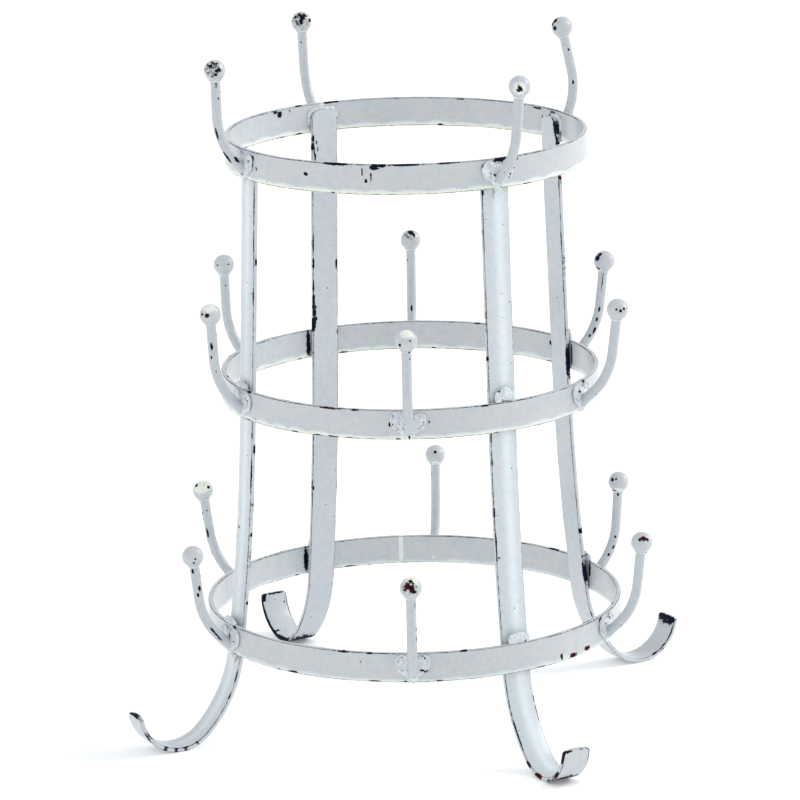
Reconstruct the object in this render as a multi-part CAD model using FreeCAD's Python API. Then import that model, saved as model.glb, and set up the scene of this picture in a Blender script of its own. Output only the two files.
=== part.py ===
import FreeCAD, Part
import math
import os

# Mug tree: a rigid welded iron frame that stands on four curled feet.
# Three hoops of flat bar stand on edge, four bars of the same width run down
# inside them and end in upturned feet, and sixteen ball-ended pegs of round
# rod are welded round the outside of the hoops.
#
# Millimetres. +Z is up. The origin is on the floor, on the axis of the hoops.
# The front and back legs stand on the Y axis. The other two are close to the X
# axis: like the pegs, they were set by eye.

Vector = FreeCAD.Vector
UP = Vector(0, 0, 1)
ORIGIN = Vector(0, 0, 0)

# Stock: flat bar for the hoops and legs, round rod for the pegs, turned balls.
BAR_WIDTH = 19.0
HOOP_THICKNESS = 3.0
LEG_CROWN = 3.5
LEG_EDGE = 2.5
ROD_RADIUS = 3.15
BALL_RADIUS = 6.75

# Hoops: name, outside radius, and the direction its butt joint faces.
TIER_SPACING = 152.0
LOWEST_TOP_EDGE = 77.0
HOOPS = {
    "top": {"radius": 114.5, "storey": 2, "seam": 90.0},
    "middle": {"radius": 120.5, "storey": 1, "seam": 90.0},
    "bottom": {"radius": 133.5, "storey": 0, "seam": 64.5},
}
SEAM_GAP = 1.4

# Legs: the bar stops just under the top edge of the top hoop. Below the bottom
# hoop it sweeps out, curls under and comes back up.
LEG_DROP = 4.0
LEG_END_ROUNDING = 4.0
SWEEP_RADIUS = 80.0
CURL_RADIUS = 25.0
CURL_END_ANGLE = 175.0
TIP_ROUNDING = 2.5
LEG_AZIMUTHS = {"right": 2.0, "back": 90.0, "left": 178.0, "front": 270.0}

# Pegs: every rod is bent to one shape. Each was then set by hand, so it leans
# in or out by its own few degrees about its foot.
PEG_FOOT_DROP = 14.5
PEG_FOOT_ANGLE = 45.0
PEG_FOOT_LENGTH = 12.0
PEG_BEND_RADIUS = 45.0
PEG_TOP_ANGLE = 6.0
PEG_BALL_RISE = 49.2
BALL_SEAT_DEPTH = 3.5

# Direction of each peg in degrees, and how far it leans out of its true shape.
PEGS = {
    "top": {0.0: -19.5, 90.0: -2.0, 180.0: -5.0, 270.0: 2.5},
    "middle": {0.0: 1.5, 60.0: 0.0, 120.0: -4.5, 180.0: -3.0, 240.0: 0.0, 303.0: 1.5},
    "bottom": {0.0: -1.5, 55.0: 0.0, 120.0: 3.5, 180.0: 1.0, 240.0: 0.0, 306.0: 0.5},
}

# Weld beads.
LEG_BEAD_RADIUS = 2.6
LEG_BEAD_LENGTH = 8.0
ROPE_RADIUS = 1.9
ROPE_SIDE = 7.0
LOBE_SPREAD = 6.4
LOBE_DROP = 8.5
LOBE_RADIUS = 4.6
LOBE_HEIGHT = 2.4
COLLAR_RADIUS = 0.9


def top_edge(name):
    """Height of a hoop's upper edge above the floor."""
    return LOWEST_TOP_EDGE + TIER_SPACING * HOOPS[name]["storey"]


def bottom_edge(name):
    """Height of a hoop's lower edge above the floor."""
    return top_edge(name) - BAR_WIDTH


def inner_radius(name):
    """Radius of the face the legs are welded to."""
    return HOOPS[name]["radius"] - HOOP_THICKNESS


def turned(shape, azimuth):
    """A copy of a shape built on the +X side, carried round the axis."""
    copy = shape.copy()
    copy.rotate(ORIGIN, UP, azimuth)
    return copy


def step_along(start, angle, distance):
    """A point a straight distance away. The angle is measured outward from up."""
    slope = math.radians(angle)
    return start + Vector(distance * math.sin(slope), 0, distance * math.cos(slope))


def down_bend(start, radius, first, last):
    """An arc of bar running down and curling outward, and the point where it ends.

    The angles are the bar's own direction, measured outward from straight down.
    """
    def at(angle):
        turn = math.radians(angle)
        begin = math.radians(first)
        return start + Vector(radius * (math.cos(begin) - math.cos(turn)), 0,
                              radius * (math.sin(begin) - math.sin(turn)))
    end = at(last)
    return Part.Arc(start, at((first + last) / 2), end).toShape(), end


def up_bend(start, radius, first, last):
    """An arc of rod running up and straightening, and the point where it ends."""
    def at(angle):
        turn = math.radians(angle)
        begin = math.radians(first)
        return start + Vector(radius * (math.cos(turn) - math.cos(begin)), 0,
                              radius * (math.sin(begin) - math.sin(turn)))
    end = at(last)
    return Part.Arc(start, at((first + last) / 2), end).toShape(), end


def swept(edges, section):
    """A closed section carried along a path that lies in the XZ plane."""
    pipe = Part.BRepOffsetAPI.MakePipeShell(Part.Wire(edges))
    pipe.setBiNormalMode(Vector(0, 1, 0))
    pipe.add(section)
    pipe.build()
    pipe.makeSolid()
    return pipe.shape()


def full_ring(name):
    """A hoop as one unbroken ring: the bar and the weld in its joint together."""
    base = Vector(0, 0, bottom_edge(name))
    outside = Part.makeCylinder(HOOPS[name]["radius"], BAR_WIDTH, base)
    return outside.cut(Part.makeCylinder(inner_radius(name), BAR_WIDTH, base))


def seam_slot(name):
    """The narrow slot between the two butted ends of a hoop's bar."""
    reach = HOOPS[name]["radius"] + BAR_WIDTH
    slot = Part.makeBox(reach, SEAM_GAP, BAR_WIDTH, Vector(0, -SEAM_GAP / 2, bottom_edge(name)))
    return turned(slot, HOOPS[name]["seam"])


def hoop(name):
    """Flat bar rolled into a hoop, its two ends brought together edge to edge."""
    return full_ring(name).cut(seam_slot(name))


def seam_weld(name):
    """The weld that fills the butt joint, ground flush on both faces."""
    return full_ring(name).common(seam_slot(name))


def leg_path():
    """The crown line of a leg, from its top end down to the tip of the foot.

    The leg touches each hoop on the lower edge of the hoop's inner face.
    """
    high = Vector(inner_radius("top"), 0, bottom_edge("top"))
    middle = Vector(inner_radius("middle"), 0, bottom_edge("middle"))
    low = Vector(inner_radius("bottom"), 0, bottom_edge("bottom"))
    lean = math.degrees(math.atan2(middle.x - high.x, high.z - middle.z))
    start = step_along(high, -lean, BAR_WIDTH - LEG_DROP)
    edges = [Part.LineSegment(start, middle).toShape()]

    # A single shallow arc carries on from the straight and meets the bottom hoop.
    chord = math.degrees(math.atan2(low.x - middle.x, middle.z - low.z))
    flare = 2 * chord - lean
    half_turn = math.radians((flare - lean) / 2)
    shallow = low.sub(middle).Length / (2 * math.sin(half_turn))
    arc, foot = down_bend(middle, shallow, lean, flare)
    edges.append(arc)

    # The sweep turns just far enough for the curl to bring the bar to the floor.
    drop = foot.z + SWEEP_RADIUS * math.sin(math.radians(flare)) - CURL_RADIUS - LEG_CROWN
    turn = math.degrees(math.asin(drop / (SWEEP_RADIUS - CURL_RADIUS)))
    arc, foot = down_bend(foot, SWEEP_RADIUS, flare, turn)
    edges.append(arc)
    arc, foot = down_bend(foot, CURL_RADIUS, turn, CURL_END_ANGLE)
    edges.append(arc)
    return edges, start, lean


def leg_section(start, lean):
    """Bar with a domed outer face, a flat inner face and blunt edges."""
    outward = Vector(math.cos(math.radians(lean)), 0, math.sin(math.radians(lean)))
    half = BAR_WIDTH / 2
    shoulder = outward * (LEG_EDGE - LEG_CROWN)
    heel = outward * -LEG_CROWN
    side = Vector(0, half, 0)
    dome = Part.Arc(start + shoulder + side, start, start + shoulder - side).toShape()
    right = Part.LineSegment(start + shoulder - side, start + heel - side).toShape()
    flat = Part.LineSegment(start + heel - side, start + heel + side).toShape()
    left = Part.LineSegment(start + heel + side, start + shoulder + side).toShape()
    return Part.Wire([dome, right, flat, left])


def corner_edges(shape, level, outermost):
    """The two short edges where an end of the bar meets its narrow sides."""
    found = []
    for edge in shape.Edges:
        centre = edge.CenterOfMass
        on_side = abs(abs(centre.y) - BAR_WIDTH / 2) < 0.01
        near_end = abs(centre.z - level) < LEG_CROWN
        outside = centre.x > HOOPS["bottom"]["radius"] + BAR_WIDTH
        if on_side and near_end and outside == outermost and edge.Length < LEG_CROWN:
            found.append(edge)
    return found


def leg():
    """One leg on the +X side, with its end corners rounded off."""
    edges, start, lean = leg_path()
    bar = swept(edges, leg_section(start, lean))
    tip = edges[-1].Vertexes[-1].Point
    bar = bar.makeFillet(LEG_END_ROUNDING, corner_edges(bar, start.z, False))
    return bar.makeFillet(TIP_ROUNDING, corner_edges(bar, tip.z, True))


def peg_path(name, lean):
    """The centre line of a rod, from its foot on the hoop to the ball's centre."""
    foot = Vector(HOOPS[name]["radius"], 0, top_edge(name) - PEG_FOOT_DROP)
    knee = step_along(foot, PEG_FOOT_ANGLE, PEG_FOOT_LENGTH)
    arc, shoulder = up_bend(knee, PEG_BEND_RADIUS, PEG_FOOT_ANGLE, PEG_TOP_ANGLE)
    rise = top_edge(name) + PEG_BALL_RISE - shoulder.z
    straight = rise / math.cos(math.radians(PEG_TOP_ANGLE))
    centre = step_along(shoulder, PEG_TOP_ANGLE, straight)
    seat = step_along(shoulder, PEG_TOP_ANGLE, straight - BALL_RADIUS + BALL_SEAT_DEPTH)
    buried = step_along(foot, PEG_FOOT_ANGLE, -BAR_WIDTH)
    edges = [
        Part.LineSegment(buried, knee).toShape(),
        arc,
        Part.LineSegment(shoulder, seat).toShape(),
    ]
    path = Part.Wire(edges)
    marker = Part.Vertex(centre)
    for shape in (path, marker):
        shape.rotate(foot, Vector(0, 1, 0), lean)
    return path, marker.Point


def rod_section(path):
    """A circle square to the start of the path."""
    first = path.OrderedEdges[0]
    along = first.tangentAt(first.FirstParameter)
    return Part.Wire(Part.makeCircle(ROD_RADIUS, path.OrderedVertexes[0].Point, along))


def peg(name, lean):
    """One rod on the +X side, its foot shaped to the outer face of the hoop."""
    path = peg_path(name, lean)[0]
    rod = swept(path.OrderedEdges, rod_section(path))
    core = Part.makeCylinder(HOOPS[name]["radius"], TIER_SPACING,
                             Vector(0, 0, top_edge(name) - TIER_SPACING / 2))
    return rod.cut(core)


def ball(name, lean):
    """One ball on the +X side, drilled to take the end of its rod."""
    path, centre = peg_path(name, lean)
    sphere = Part.makeSphere(BALL_RADIUS, centre)
    seat = path.OrderedVertexes[-1].Point
    socket = Part.makeCylinder(ROD_RADIUS, BALL_RADIUS * 2, seat, seat - centre)
    return sphere.cut(socket)


def ball_collar(name, lean):
    """The thin bead that closes the joint between a ball and its rod."""
    path, centre = peg_path(name, lean)
    axis = path.OrderedVertexes[-1].Point - centre
    axis.normalize()
    drop = math.sqrt(BALL_RADIUS ** 2 - ROD_RADIUS ** 2)
    middle = centre + axis * (drop + COLLAR_RADIUS / 2)
    bead = Part.makeTorus(ROD_RADIUS, COLLAR_RADIUS, middle, axis)
    sphere = Part.makeSphere(BALL_RADIUS, centre)
    return bead.cut(sphere).cut(peg(name, lean))


def peg_lobes(name, lean):
    """Two weld lobes, one on each side of a rod where it lands on the hoop."""
    radius = HOOPS[name]["radius"]
    height = top_edge(name) - LOBE_DROP
    ball_radius = (LOBE_RADIUS ** 2 + LOBE_HEIGHT ** 2) / (2 * LOBE_HEIGHT)
    core = Part.makeCylinder(radius, TIER_SPACING, Vector(0, 0, height - TIER_SPACING / 2))
    rod = peg(name, lean)
    lobes = []
    for side in (-1, 1):
        dome = Part.makeSphere(ball_radius, Vector(radius + LOBE_HEIGHT - ball_radius, 0, height))
        swing = math.degrees(LOBE_SPREAD / radius)
        lobes += turned(dome, side * swing).cut(core).cut(rod).Solids
    return lobes


def capsule(start, end, radius):
    """A straight bead with round ends."""
    axis = end - start
    run = Part.makeCylinder(radius, axis.Length, start, axis)
    caps = [Part.makeSphere(radius, point) for point in (start, end)]
    return run.fuse(caps)


def leg_bead(name, bar):
    """The lumpy bead lying on a hoop's upper edge, against the face of a leg."""
    middle = Vector(inner_radius(name) + LEG_BEAD_RADIUS / 2, 0, top_edge(name) + LEG_BEAD_RADIUS / 2)
    reach = Vector(0, LEG_BEAD_LENGTH / 2, 0)
    bead = capsule(middle - reach, middle + reach, LEG_BEAD_RADIUS)
    return bead.cut(full_ring(name)).cut(bar)


def leg_rope(bar):
    """The rope of weld laid round the top end of a leg, on the hoop's inner face."""
    radius = inner_radius("top") - ROPE_RADIUS / 2
    across = BAR_WIDTH / 2 + ROPE_RADIUS / 4
    crest = top_edge("top") - LEG_DROP + ROPE_RADIUS / 4
    corner = LEG_END_ROUNDING
    tilt = math.radians(45)
    inset = corner * (1 - math.sin(tilt))

    def at(side, height):
        return Vector(radius, side, height)

    edges = [
        Part.LineSegment(at(-across, crest - corner - ROPE_SIDE), at(-across, crest - corner)),
        Part.Arc(at(-across, crest - corner), at(-across + inset, crest - inset),
                 at(-across + corner, crest)),
        Part.LineSegment(at(-across + corner, crest), at(across - corner, crest)),
        Part.Arc(at(across - corner, crest), at(across - inset, crest - inset),
                 at(across, crest - corner)),
        Part.LineSegment(at(across, crest - corner), at(across, crest - corner - ROPE_SIDE)),
    ]
    path = Part.Wire([edge.toShape() for edge in edges])
    start = path.OrderedVertexes[0].Point
    section = Part.Wire(Part.makeCircle(ROPE_RADIUS, start, UP))
    rope = path.makePipeShell([section], True, False)
    return rope.cut(full_ring("top")).cut(bar)


def save(node, shape):
    """Write one node, after checking that it is sound."""
    if not shape.isValid():
        raise RuntimeError(node + " is not a sound solid")
    shape.exportStep(os.path.join("parts", node + ".step"))


os.makedirs("parts", exist_ok=True)

for name in HOOPS:
    save("hoop_" + name, hoop(name))
save("hoop_seam_welds", Part.makeCompound([seam_weld(name) for name in HOOPS]))

pattern_leg = leg()
for side, azimuth in LEG_AZIMUTHS.items():
    save("leg_" + side, turned(pattern_leg, azimuth))

leg_welds = {
    "top": leg_rope(pattern_leg),
    "middle": leg_bead("middle", pattern_leg),
    "bottom": leg_bead("bottom", pattern_leg),
}
for name, weld in leg_welds.items():
    welds = [turned(solid, azimuth) for azimuth in LEG_AZIMUTHS.values() for solid in weld.Solids]
    save("leg_welds_" + name, Part.makeCompound(welds))

for name, tier in PEGS.items():
    lobes = []
    collars = []
    for azimuth, lean in tier.items():
        label = "%s_%03d" % (name, azimuth)
        save("peg_" + label, turned(peg(name, lean), azimuth))
        save("ball_" + label, turned(ball(name, lean), azimuth))
        lobes += [turned(lobe, azimuth) for lobe in peg_lobes(name, lean)]
        collars += turned(ball_collar(name, lean), azimuth).Solids
    save("peg_welds_" + name, Part.makeCompound(lobes))
    save("ball_welds_" + name, Part.makeCompound(collars))
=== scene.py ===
import math
import random

import bmesh
import bpy
from mathutils import Matrix, Vector, noise


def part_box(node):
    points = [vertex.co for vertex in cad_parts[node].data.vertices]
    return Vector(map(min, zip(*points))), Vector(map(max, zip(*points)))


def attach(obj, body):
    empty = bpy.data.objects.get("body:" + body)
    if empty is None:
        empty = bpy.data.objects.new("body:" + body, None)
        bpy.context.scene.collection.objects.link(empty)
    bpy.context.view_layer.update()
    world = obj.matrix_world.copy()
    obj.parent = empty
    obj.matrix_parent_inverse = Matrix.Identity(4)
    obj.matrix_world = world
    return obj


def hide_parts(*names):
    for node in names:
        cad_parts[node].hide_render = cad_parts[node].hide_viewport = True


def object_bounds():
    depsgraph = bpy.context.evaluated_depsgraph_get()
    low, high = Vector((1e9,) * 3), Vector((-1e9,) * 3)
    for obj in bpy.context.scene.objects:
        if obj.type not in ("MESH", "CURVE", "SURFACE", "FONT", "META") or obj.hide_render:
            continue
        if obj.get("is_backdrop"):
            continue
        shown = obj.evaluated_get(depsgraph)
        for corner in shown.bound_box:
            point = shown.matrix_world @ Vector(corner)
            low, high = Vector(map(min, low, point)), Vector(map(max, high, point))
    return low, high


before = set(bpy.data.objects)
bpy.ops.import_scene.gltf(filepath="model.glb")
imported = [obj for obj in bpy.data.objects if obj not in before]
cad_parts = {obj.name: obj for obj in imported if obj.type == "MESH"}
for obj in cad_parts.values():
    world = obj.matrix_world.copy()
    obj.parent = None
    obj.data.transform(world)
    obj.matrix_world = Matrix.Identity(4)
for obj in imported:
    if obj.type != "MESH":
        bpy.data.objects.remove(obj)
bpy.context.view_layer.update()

# ---------------------------------------------------------------- Hoops
# Three rings of flat iron bar, rolled on edge and butt welded into a circle.
# White paint was brushed on thick. It ran before it set, so it hangs in
# shallow humps along each lower edge, and it has worn off the upper one.
BAR_WIDTH = 0.019
HOOP_THICKNESS = 0.003
HOOP_CORNER = 0.0009
HOOP_STEP = 0.0009
CORNER_STEPS = 4
BAR_CUTS = 28
SEAM_GAP = 0.0014
SEAM_DIRECTIONS = {"top": 90, "middle": 90, "bottom": 64.5}

# Humps of thick paint along a lower edge: their pitch and its drift, how high they
# reach and how that varies, where they fade out as shares of their height, and how far
# they swell. The bar's edge cuts off the first part of that swelling curve.
HUMP_PITCH = 0.021
HUMP_DRIFT = 1.1
DRIFT_PITCH = 0.06
HUMP_LOW = 0.0024
HUMP_HIGH = 0.0040
HUMP_VARIATION = 0.8
VARIATION_PITCH = 0.03
VARIATION_SEED = 9
HUMP_FADE = (0.4, 1.2)
HUMP_SWELL = 0.00035
HUMP_CUT_OFF = 0.25

# Cream paint lies along the very edge. Above it the band of thick paint is also painted lighter, as
# light from the floor would make it. The thick band is whitest on the top hoop.
CREAM_RISE = 0.0019
CREAM_FADE = 0.3
BAND_PAINT_AND_LIGHT = {"top": 1.0, "middle": 0.85, "bottom": 0.5}

# The unevenness of hand work: its depth, its pitch through the bar and across it, and
# the seeds that make each bar and each edge uneven in its own way.
HAND_WAVER = 0.00010
FACE_PITCH = 0.012
EDGE_PITCH = 0.02
HOOP_SEED = 3.7
EDGE_SEED = 5

# Knocks in the paint of each face: direction in degrees, distance below the upper edge,
# half length and half height in millimetres, and how red the metal is. A knock fades
# out a little past its half length, and one by a long edge shows on both faces.
KNOCK_REACH = 1.4
EDGE_KNOCK = 0.0005
HOOP_KNOCKS = {
    "top": {
        "outer": [
            (218.5, 0.5, 10, 1.0, 0.0), (231, 1.6, 3, 2.4, 0.0), (233.5, 0.8, 3, 1.2, 0.0),
            (240.5, 0.5, 11, 0.8, 0.1), (253.5, 0.4, 8, 0.5, 0.0), (271.5, 1.2, 7, 1.6, 0.0),
            (277, 1.6, 0.8, 1.8, 0.0), (227.3, 5.0, 0.5, 3.0, 0.0), (230, 7.5, 0.5, 3.2, 0.0),
            (228.4, 10.5, 1.2, 1.4, 0.0), (208.3, 8.2, 1.7, 1.4, 0.4), (185, 4.5, 1.6, 2.4, 0.0),
            (187, 10.5, 0.8, 1.4, 0.1), (175, 10.0, 1.6, 0.8, 0.0), (167, 9.0, 2.2, 1.2, 0.0),
            (76, 0.6, 6, 1.0, 0.0), (33, 1.0, 4, 1.4, 0.3), (128, 18.6, 4, 0.8, 0.9),
        ],
        "inner": [
            (107.5, 3.6, 2.4, 2.2, 0.0), (109.5, 1.4, 2.0, 1.2, 0.0), (42, 0.8, 3, 0.5, 0.0),
            (87, 0.3, 8, 0.7, 0.2), (99, 0.3, 3, 0.5, 0.0), (11, 1.5, 5, 0.7, 0.0),
            (2, 2.0, 3, 1.0, 0.2), (8, 7.8, 1.2, 2.4, 0.0), (49, 18.2, 2.5, 0.8, 0.3),
            (103, 2.0, 0.6, 1.2, 0.0), (210, 17.5, 2, 1.0, 0.8),
        ],
    },
    "middle": {
        "outer": [
            (305, 1.0, 2.0, 1.0, 0.0), (184, 0.6, 2.4, 0.9, 0.0), (176, 5.0, 1.6, 0.9, 0.0),
            (216, 0.7, 8, 0.7, 0.6), (224, 0.7, 3, 0.7, 0.2), (234.5, 9.0, 0.8, 1.8, 0.0),
            (204, 18.8, 3.2, 1.0, 1.0), (246, 8.0, 0.5, 1.2, 0.0), (263, 0.6, 3, 0.6, 0.0),
            (34, 9.0, 1.4, 1.4, 0.2), (112, 0.7, 7, 1.0, 0.0), (150, 18.7, 3, 0.9, 1.0),
        ],
        "inner": [
            # The tall narrow mark at 95.5 darkens the corner beside the back leg.
            (95.5, 9.0, 1.9, 10.5, 0.0), (63, 16.4, 1.6, 0.8, 0.1), (53, 18.2, 1.2, 0.6, 0.3),
            (9, 6.0, 1.4, 1.8, 0.0), (357, 10, 1.1, 8.0, 0.0), (38, 0.5, 3, 0.5, 0.0),
            (250, 1.0, 4, 1.0, 0.0),
        ],
    },
    "bottom": {
        "outer": [
            (302.5, 2.6, 2.6, 2.2, 0.0), (295, 16.4, 3.4, 1.5, 1.0), (288.5, 17.0, 4.6, 1.4, 1.0),
            (284, 15.6, 1.2, 2.4, 0.1), (254, 0.4, 3, 0.6, 0.0), (228.5, 0.5, 2.5, 0.6, 0.0),
            (221, 0.5, 4, 0.6, 0.3), (236, 8.8, 0.8, 1.8, 0.0), (206, 18.0, 4.5, 0.8, 1.0),
            (201, 18.4, 1.6, 0.6, 0.8), (247, 18.4, 3.0, 0.7, 1.0), (238, 18.4, 1.6, 0.5, 0.6),
            (167, 9.6, 1.6, 1.2, 0.0), (182, 1.0, 2.2, 1.0, 0.0), (176, 5.4, 1.0, 1.6, 0.0),
            (176, 13.7, 1.6, 2.4, 0.0), (226, 6.4, 0.5, 0.6, 0.0), (25, 0.8, 5, 1.2, 0.0),
            (97, 10, 1.6, 2.2, 0.1), (140, 18.5, 5, 0.9, 1.0),
        ],
        "inner": [
            # The tall narrow mark at 94.5 darkens the corner beside the back leg.
            (94.5, 8.5, 1.9, 10.0, 0.0), (358, 5.0, 1.5, 5.6, 0.0), (0, 11.5, 1.0, 4.0, 0.0),
            (15, 0.3, 5, 0.5, 0.0), (80, 18.6, 2.0, 0.6, 0.9), (74, 18.5, 1.2, 0.5, 0.2),
            (98, 18.4, 1.4, 0.6, 0.0), (260, 1.2, 4, 1.0, 0.0),
        ],
    },
}

# Small knocks are scattered over the outer faces that look this way, in degrees, and
# over the inner faces across from them. Most lie on the upper or the lower edge. Levels,
# half lengths and half heights are in millimetres.
SCATTER_SEED = 5
SCATTER_SIDE = 61
SCATTER_SPREAD = 80
HOOP_SCATTER = 14
UPPER_LEVEL = 0.5
LOWER_LEVEL = 18.6
FACE_LEVELS = (3, 16)
SCATTER_LENGTHS = (1.0, 5.0)
SCATTER_HEIGHTS = (0.5, 1.1)
SCATTER_REDNESS = [0.0, 0.0, 0.9]
scatter_chance = random.Random(SCATTER_SEED)


def hoop_size(tier):
    """Outside radius of a hoop, and the heights of its lower and upper edges."""
    low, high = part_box("hoop_" + tier)
    return (high.x - low.x) / 2, low.z, high.z


def draw_out(bm, length, step):
    """Draws a flat section out along X into a closed bar, divided at every step."""
    end = bmesh.ops.extrude_face_region(bm, geom=bm.faces[:], use_keep_orig=True)["geom"]
    moved = [item for item in end if isinstance(item, bmesh.types.BMVert)]
    bmesh.ops.translate(bm, verts=moved, vec=(length, 0, 0))
    runs = [edge for edge in bm.edges if abs(edge.verts[0].co.x - edge.verts[1].co.x) > length / 2]
    bmesh.ops.subdivide_edges(bm, edges=runs, cuts=round(length / step) - 1)
    bmesh.ops.recalc_face_normals(bm, faces=bm.faces[:])


def straight_bar(length, thickness, corner, step, crown=0.0):
    """Flat bar along X. Y is across its width and Z goes through it, up to 0 on its outer face."""
    bm = bmesh.new()
    upright = Matrix.Rotation(math.radians(90), 4, "Y")
    size = Matrix.Diagonal((1, BAR_WIDTH, thickness, 1))
    bmesh.ops.create_grid(bm, x_segments=1, y_segments=1, size=0.5, matrix=size @ upright)
    bmesh.ops.bevel(bm, geom=bm.verts[:], offset=corner, offset_type="OFFSET", affect="VERTICES",
                    segments=CORNER_STEPS, profile=0.5, material=-1)
    long_edges = [edge for edge in bm.edges if edge.calc_length() > BAR_WIDTH / 2]
    bmesh.ops.subdivide_edges(bm, edges=long_edges, cuts=BAR_CUTS)
    for vertex in bm.verts:
        outward = vertex.co.z > 0
        vertex.co.z -= thickness / 2
        if outward:
            vertex.co.z -= crown * (2 * vertex.co.y / BAR_WIDTH) ** 2
    draw_out(bm, length, step)
    return bm


def waver(point, pitch, seed):
    """Slow unevenness of hand work, from -1 to 1."""
    return noise.noise(point / pitch + Vector((seed, 0, 0)))


def hump_height(along, seed):
    """How far the thick paint reaches up from the lower edge at a distance along the bar."""
    drift = HUMP_DRIFT * noise.noise(Vector((along / DRIFT_PITCH, seed, 0)))
    swing = abs(math.sin(math.pi * (along / HUMP_PITCH + drift + seed)))
    varied = noise.noise(Vector((along / VARIATION_PITCH, seed + VARIATION_SEED, 0)))
    return HUMP_LOW + (HUMP_HIGH - HUMP_LOW) * swing * (1 + HUMP_VARIATION * varied)


def smooth_step(low, high, value):
    """0 below low, 1 above high, and a soft rise between them."""
    share = min(1.0, max(0.0, (value - low) / (high - low)))
    return share * share * (3 - 2 * share)


def scatter(first, last, count):
    """Small knocks spread over one stretch of a bar, most of them on its long edges."""
    spread = []
    for _ in range(count):
        on_face = scatter_chance.uniform(*FACE_LEVELS)
        level = scatter_chance.choice([UPPER_LEVEL, UPPER_LEVEL, LOWER_LEVEL, on_face])
        length = scatter_chance.uniform(*SCATTER_LENGTHS)
        height = scatter_chance.uniform(*SCATTER_HEIGHTS)
        place = scatter_chance.uniform(first, last)
        redness = scatter_chance.choice(SCATTER_REDNESS)
        spread.append((place, level, length, height, redness))
    return spread


def lay_out(knocks, to_along):
    """Knocks of both faces in metres on the straight bar. One on a long edge shows on both faces."""
    faces = {"outer": [], "inner": []}
    for face, listed in knocks.items():
        for place, level, length, height, redness in listed:
            across = BAR_WIDTH / 2 - level / 1000
            on_edge = abs(across) > BAR_WIDTH / 2 - EDGE_KNOCK
            shown_on = ["outer", "inner"] if on_edge else [face]
            for shown in shown_on:
                faces[shown].append((to_along(place), across, length / 1000, height / 1000, redness))
    return faces


def knock_strength(knocks, along, across):
    """How far the paint is knocked off at a point of a bar, and how red the metal there is."""
    worn = 0.0
    red = 0.0
    for place, level, length, height, redness in knocks:
        if abs(along - place) < KNOCK_REACH * length:
            distance = math.hypot((along - place) / length, (across - level) / height)
            strength = min(1.0, KNOCK_REACH - distance)
            if strength > worn:
                worn = strength
                red = redness
    return worn, red


def paint_runs(bm, knocks, band_paint_and_light, seed):
    """Swells the paint along the lower edge, and marks each point: how worn it is, how red the
    metal under it, and how thick its paint, from 0 for thin to 1 for thick and 2 for pooled. The thick
    band also carries painted light from the floor."""
    marks = bm.verts.layers.float_vector.new("marks")
    for vertex in bm.verts:
        along, across, depth = vertex.co
        side = 1 if depth > -HOOP_THICKNESS / 2 else -1
        rise = across + BAR_WIDTH / 2
        top = hump_height(along, seed + side)
        # The thick band is pooled paint, and it is also painted lighter for the light it takes from the
        # floor.
        thick = band_paint_and_light * (1 - smooth_step(HUMP_FADE[0] * top, HUMP_FADE[1] * top, rise))
        cream = band_paint_and_light * (1 - smooth_step(CREAM_FADE * CREAM_RISE, CREAM_RISE, rise))
        if rise < top:
            curve = HUMP_CUT_OFF + (1 - HUMP_CUT_OFF) * rise / top
            vertex.co.z += side * HUMP_SWELL * math.sin(math.pi * curve)
        vertex.co.z += side * HAND_WAVER * waver(vertex.co, FACE_PITCH, seed)
        vertex.co.y += 2 * HAND_WAVER * waver(vertex.co, EDGE_PITCH, seed + EDGE_SEED)
        worn, red = knock_strength(knocks["outer" if side > 0 else "inner"], along, across)
        vertex[marks] = (worn, red, thick + cream)


def bend(bm, place):
    """Keeps each point's place on the straight bar for the paint, then moves it onto the bent one."""
    bar = bm.verts.layers.float_vector.new("bar")
    for vertex in bm.verts:
        vertex[bar] = vertex.co
        vertex.co = place(vertex.co)


def roll_up(tier, past_joint, proud=0.0):
    """The move that rolls straight bar into a hoop, starting at a distance past its joint."""
    radius, lower, upper = hoop_size(tier)

    def rolled(point):
        turn = math.radians(SEAM_DIRECTIONS[tier]) + (point.x + past_joint) / radius
        out = radius + proud + point.z
        return Vector((out * math.cos(turn), out * math.sin(turn), (lower + upper) / 2 + point.y))

    return rolled


def keep(name, bm, material, nodes):
    """Turns a finished bmesh into a piece of the mug tree that stands for its CAD nodes."""
    mesh = bpy.data.meshes.new(name)
    bm.to_mesh(mesh)
    bm.free()
    mesh.shade_smooth()
    piece = bpy.data.objects.new(name, mesh)
    bpy.context.scene.collection.objects.link(piece)
    mesh.materials.append(material)
    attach(piece, "root")
    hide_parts(*nodes)
    return piece


def put(tree, kind, inputs=(), **settings):
    """Adds a shader node. Each input gets a fixed value, or the output that feeds it."""
    made = tree.nodes.new(kind)
    for key, value in settings.items():
        setattr(made, key, value)
    for key, value in dict(inputs).items():
        if isinstance(value, bpy.types.NodeSocket):
            tree.links.new(value, made.inputs[key])
        else:
            made.inputs[key].default_value = value
    return made


CLOUD_ROUGHNESS = 0.6


def cloud(tree, place, scale, detail=3.0, stretch=(1, 1, 1)):
    """A noise value over the surface, drawn out along an axis where stretch is below 1."""
    mapped = put(tree, "ShaderNodeMapping", {"Vector": place, "Scale": stretch}, vector_type="POINT")
    made = put(tree, "ShaderNodeTexNoise", {"Vector": mapped.outputs[0], "Scale": scale,
                                            "Detail": detail, "Roughness": CLOUD_ROUGHNESS})
    return made.outputs[0]


def ramp(tree, value, low, high, start=0.0, end=1.0):
    """A soft threshold from start to end as the value goes from low to high."""
    made = put(tree, "ShaderNodeMapRange", {"Value": value, "From Min": low, "From Max": high,
                                            "To Min": start, "To Max": end},
               interpolation_type="SMOOTHSTEP")
    return made.outputs[0]


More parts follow.
